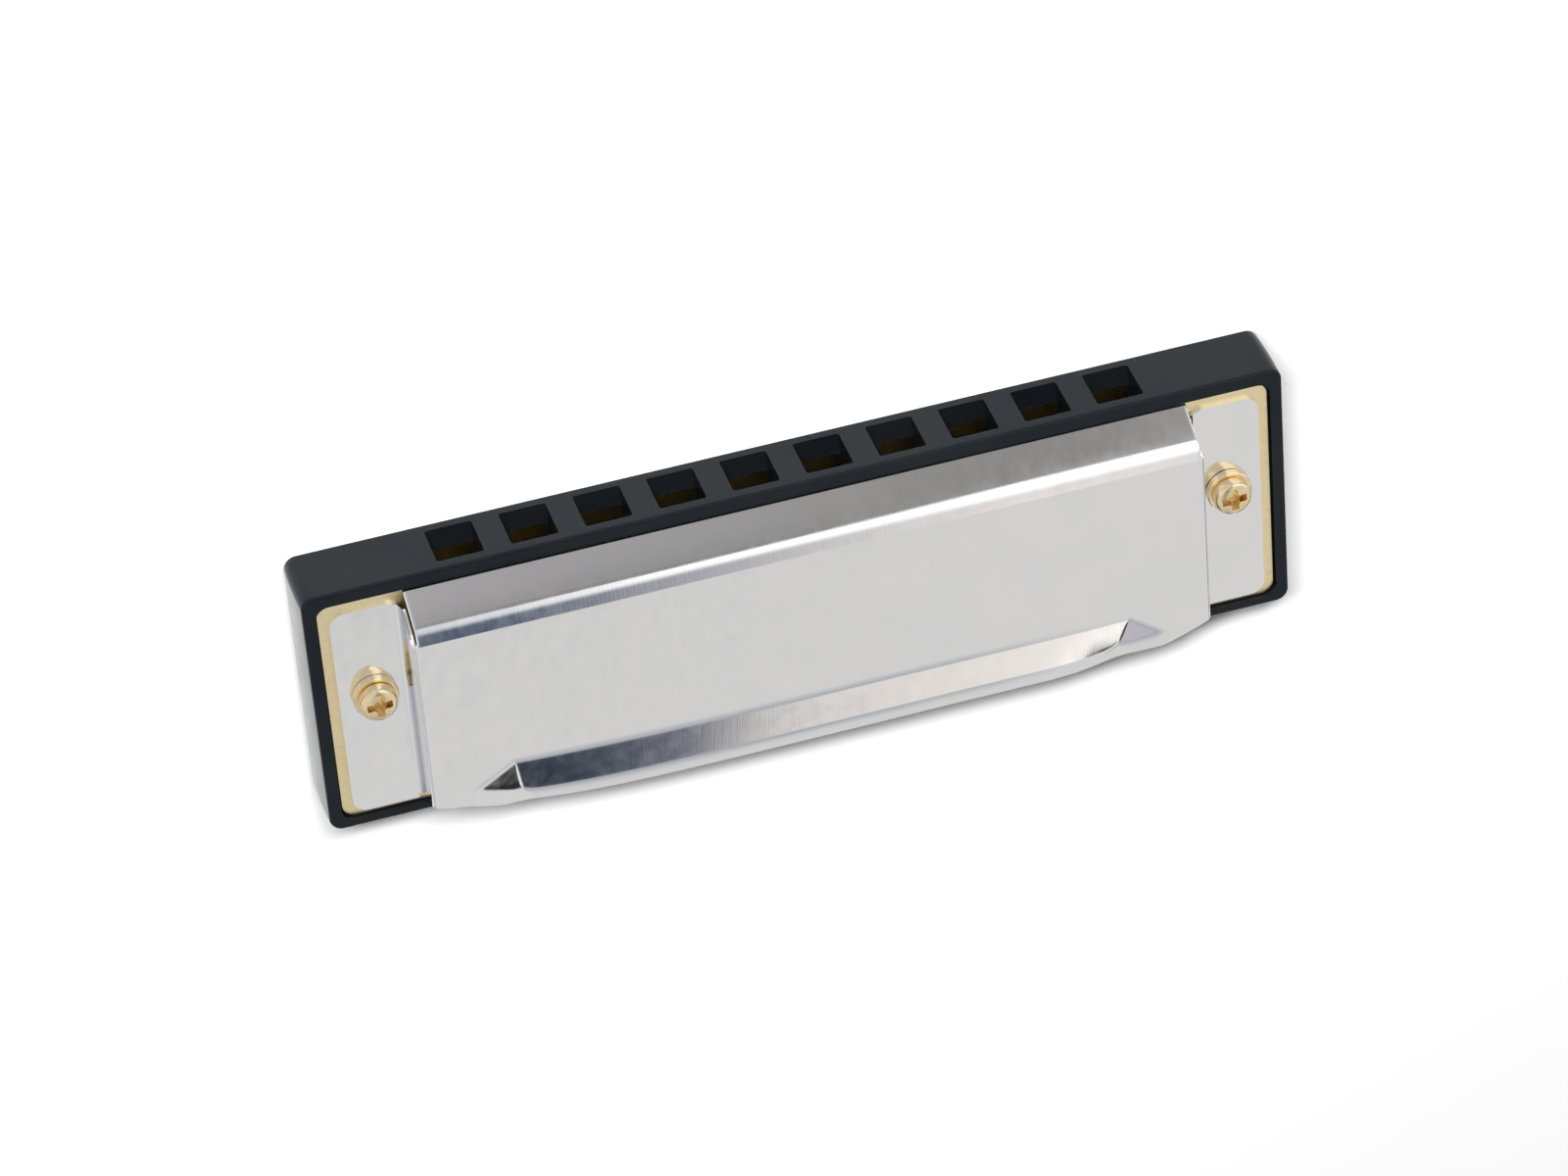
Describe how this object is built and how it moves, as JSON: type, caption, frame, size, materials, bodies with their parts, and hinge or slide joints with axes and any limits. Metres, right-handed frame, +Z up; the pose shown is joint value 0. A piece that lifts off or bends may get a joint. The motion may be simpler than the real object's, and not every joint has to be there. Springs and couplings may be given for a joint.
{
  "type": "diatonic harmonica",
  "caption": "Small blow-and-draw reed harmonica with square mouth holes, a plastic comb, recessed brass reed plates and pressed metal covers open at the back.",
  "frame": {"origin": "centre of the footprint at the height of the lower cover's flat outer face, where the harmonica rests", "axes": "+X along the row of holes from the lowest note to the highest, +Y from the mouthpiece to the open back, +Z up through both covers"},
  "size_m": [0.1006, 0.0298, 0.0158],
  "materials": {
    "comb": "black moulded ABS, satin gloss",
    "cover": "bright nickel-plated pressed steel with fine brushing",
    "plate": "pale matte rolled brass",
    "reed": "polished thin brass strip",
    "rivet": "bright turned brass",
    "screw": "bright yellow-gold plating",
    "nut": "plated steel"
  },
  "bodies": {
    "body": {"comb": "comb", "upper_reed_plate": "plate", "lower_reed_plate": "plate", "blow_reed_foot_01": "rivet", "draw_reed_foot_01": "rivet", "blow_reed_foot_02": "rivet", "draw_reed_foot_02": "rivet", "blow_reed_foot_03": "rivet", "draw_reed_foot_03": "rivet", "blow_reed_foot_04": "rivet", "draw_reed_foot_04": "rivet", "blow_reed_foot_05": "rivet", "draw_reed_foot_05": "rivet", "blow_reed_foot_06": "rivet", "draw_reed_foot_06": "rivet", "blow_reed_foot_07": "rivet", "draw_reed_foot_07": "rivet", "blow_reed_foot_08": "rivet", "draw_reed_foot_08": "rivet", "blow_reed_foot_09": "rivet", "draw_reed_foot_09": "rivet", "blow_reed_foot_10": "rivet", "draw_reed_foot_10": "rivet", "upper_cover": "cover", "lower_cover": "cover", "cover_screw_left": "screw", "lock_washer_left": "screw", "cover_nut_left": "nut", "cover_screw_right": "screw", "lock_washer_right": "screw", "cover_nut_right": "nut", "upper_plate_screw_1": "rivet", "lower_plate_screw_1": "rivet", "upper_plate_screw_2": "rivet", "lower_plate_screw_2": "rivet", "upper_plate_screw_3": "rivet", "lower_plate_screw_3": "rivet"},
    "blow_reed_01": {"blow_reed_01": "reed"},
    "blow_reed_02": {"blow_reed_02": "reed"},
    "blow_reed_03": {"blow_reed_03": "reed"},
    "blow_reed_04": {"blow_reed_04": "reed"},
    "blow_reed_05": {"blow_reed_05": "reed"},
    "blow_reed_06": {"blow_reed_06": "reed"},
    "blow_reed_07": {"blow_reed_07": "reed"},
    "blow_reed_08": {"blow_reed_08": "reed"},
    "blow_reed_09": {"blow_reed_09": "reed"},
    "blow_reed_10": {"blow_reed_10": "reed"},
    "draw_reed_01": {"draw_reed_01": "reed"},
    "draw_reed_02": {"draw_reed_02": "reed"},
    "draw_reed_03": {"draw_reed_03": "reed"},
    "draw_reed_04": {"draw_reed_04": "reed"},
    "draw_reed_05": {"draw_reed_05": "reed"},
    "draw_reed_06": {"draw_reed_06": "reed"},
    "draw_reed_07": {"draw_reed_07": "reed"},
    "draw_reed_08": {"draw_reed_08": "reed"},
    "draw_reed_09": {"draw_reed_09": "reed"},
    "draw_reed_10": {"draw_reed_10": "reed"}
  },
  "joints": [
    {"name": "blow_reed_01_bend", "type": "hinge", "parent": "body", "child": "blow_reed_01", "pos_m": [-0.03375, 0.0063, 0.01018], "axis": [1, 0, 0], "range_deg": [-4, 4], "stiffness_Nm_per_rad": 0.004},
    {"name": "blow_reed_02_bend", "type": "hinge", "parent": "body", "child": "blow_reed_02", "pos_m": [-0.02625, 0.00565, 0.01018], "axis": [1, 0, 0], "range_deg": [-4, 4], "stiffness_Nm_per_rad": 0.004},
    {"name": "blow_reed_03_bend", "type": "hinge", "parent": "body", "child": "blow_reed_03", "pos_m": [-0.01875, 0.005, 0.01018], "axis": [1, 0, 0], "range_deg": [-4, 4], "stiffness_Nm_per_rad": 0.004},
    {"name": "blow_reed_04_bend", "type": "hinge", "parent": "body", "child": "blow_reed_04", "pos_m": [-0.01125, 0.00435, 0.01018], "axis": [1, 0, 0], "range_deg": [-4, 4], "stiffness_Nm_per_rad": 0.004},
    {"name": "blow_reed_05_bend", "type": "hinge", "parent": "body", "child": "blow_reed_05", "pos_m": [-0.00375, 0.0037, 0.01018], "axis": [1, 0, 0], "range_deg": [-4, 4], "stiffness_Nm_per_rad": 0.004},
    {"name": "blow_reed_06_bend", "type": "hinge", "parent": "body", "child": "blow_reed_06", "pos_m": [0.00375, 0.00305, 0.01018], "axis": [1, 0, 0], "range_deg": [-4, 4], "stiffness_Nm_per_rad": 0.004},
    {"name": "blow_reed_07_bend", "type": "hinge", "parent": "body", "child": "blow_reed_07", "pos_m": [0.01125, 0.0024, 0.01018], "axis": [1, 0, 0], "range_deg": [-4, 4], "stiffness_Nm_per_rad": 0.004},
    {"name": "blow_reed_08_bend", "type": "hinge", "parent": "body", "child": "blow_reed_08", "pos_m": [0.01875, 0.00175, 0.01018], "axis": [1, 0, 0], "range_deg": [-4, 4], "stiffness_Nm_per_rad": 0.004},
    {"name": "blow_reed_09_bend", "type": "hinge", "parent": "body", "child": "blow_reed_09", "pos_m": [0.02625, 0.0011, 0.01018], "axis": [1, 0, 0], "range_deg": [-4, 4], "stiffness_Nm_per_rad": 0.004},
    {"name": "blow_reed_10_bend", "type": "hinge", "parent": "body", "child": "blow_reed_10", "pos_m": [0.03375, 0.00045, 0.01018], "axis": [1, 0, 0], "range_deg": [-4, 4], "stiffness_Nm_per_rad": 0.004},
    {"name": "draw_reed_01_bend", "type": "hinge", "parent": "body", "child": "draw_reed_01", "pos_m": [-0.03375, -0.0084, 0.00458], "axis": [1, 0, 0], "range_deg": [-4, 4], "stiffness_Nm_per_rad": 0.004},
    {"name": "draw_reed_02_bend", "type": "hinge", "parent": "body", "child": "draw_reed_02", "pos_m": [-0.02625, -0.0084, 0.00458], "axis": [1, 0, 0], "range_deg": [-4, 4], "stiffness_Nm_per_rad": 0.004},
    {"name": "draw_reed_03_bend", "type": "hinge", "parent": "body", "child": "draw_reed_03", "pos_m": [-0.01875, -0.0084, 0.00458], "axis": [1, 0, 0], "range_deg": [-4, 4], "stiffness_Nm_per_rad": 0.004},
    {"name": "draw_reed_04_bend", "type": "hinge", "parent": "body", "child": "draw_reed_04", "pos_m": [-0.01125, -0.0084, 0.00458], "axis": [1, 0, 0], "range_deg": [-4, 4], "stiffness_Nm_per_rad": 0.004},
    {"name": "draw_reed_05_bend", "type": "hinge", "parent": "body", "child": "draw_reed_05", "pos_m": [-0.00375, -0.0084, 0.00458], "axis": [1, 0, 0], "range_deg": [-4, 4], "stiffness_Nm_per_rad": 0.004},
    {"name": "draw_reed_06_bend", "type": "hinge", "parent": "body", "child": "draw_reed_06", "pos_m": [0.00375, -0.0084, 0.00458], "axis": [1, 0, 0], "range_deg": [-4, 4], "stiffness_Nm_per_rad": 0.004},
    {"name": "draw_reed_07_bend", "type": "hinge", "parent": "body", "child": "draw_reed_07", "pos_m": [0.01125, -0.0084, 0.00458], "axis": [1, 0, 0], "range_deg": [-4, 4], "stiffness_Nm_per_rad": 0.004},
    {"name": "draw_reed_08_bend", "type": "hinge", "parent": "body", "child": "draw_reed_08", "pos_m": [0.01875, -0.0084, 0.00458], "axis": [1, 0, 0], "range_deg": [-4, 4], "stiffness_Nm_per_rad": 0.004},
    {"name": "draw_reed_09_bend", "type": "hinge", "parent": "body", "child": "draw_reed_09", "pos_m": [0.02625, -0.0084, 0.00458], "axis": [1, 0, 0], "range_deg": [-4, 4], "stiffness_Nm_per_rad": 0.004},
    {"name": "draw_reed_10_bend", "type": "hinge", "parent": "body", "child": "draw_reed_10", "pos_m": [0.03375, -0.0084, 0.00458], "axis": [1, 0, 0], "range_deg": [-4, 4], "stiffness_Nm_per_rad": 0.004}
  ]
}
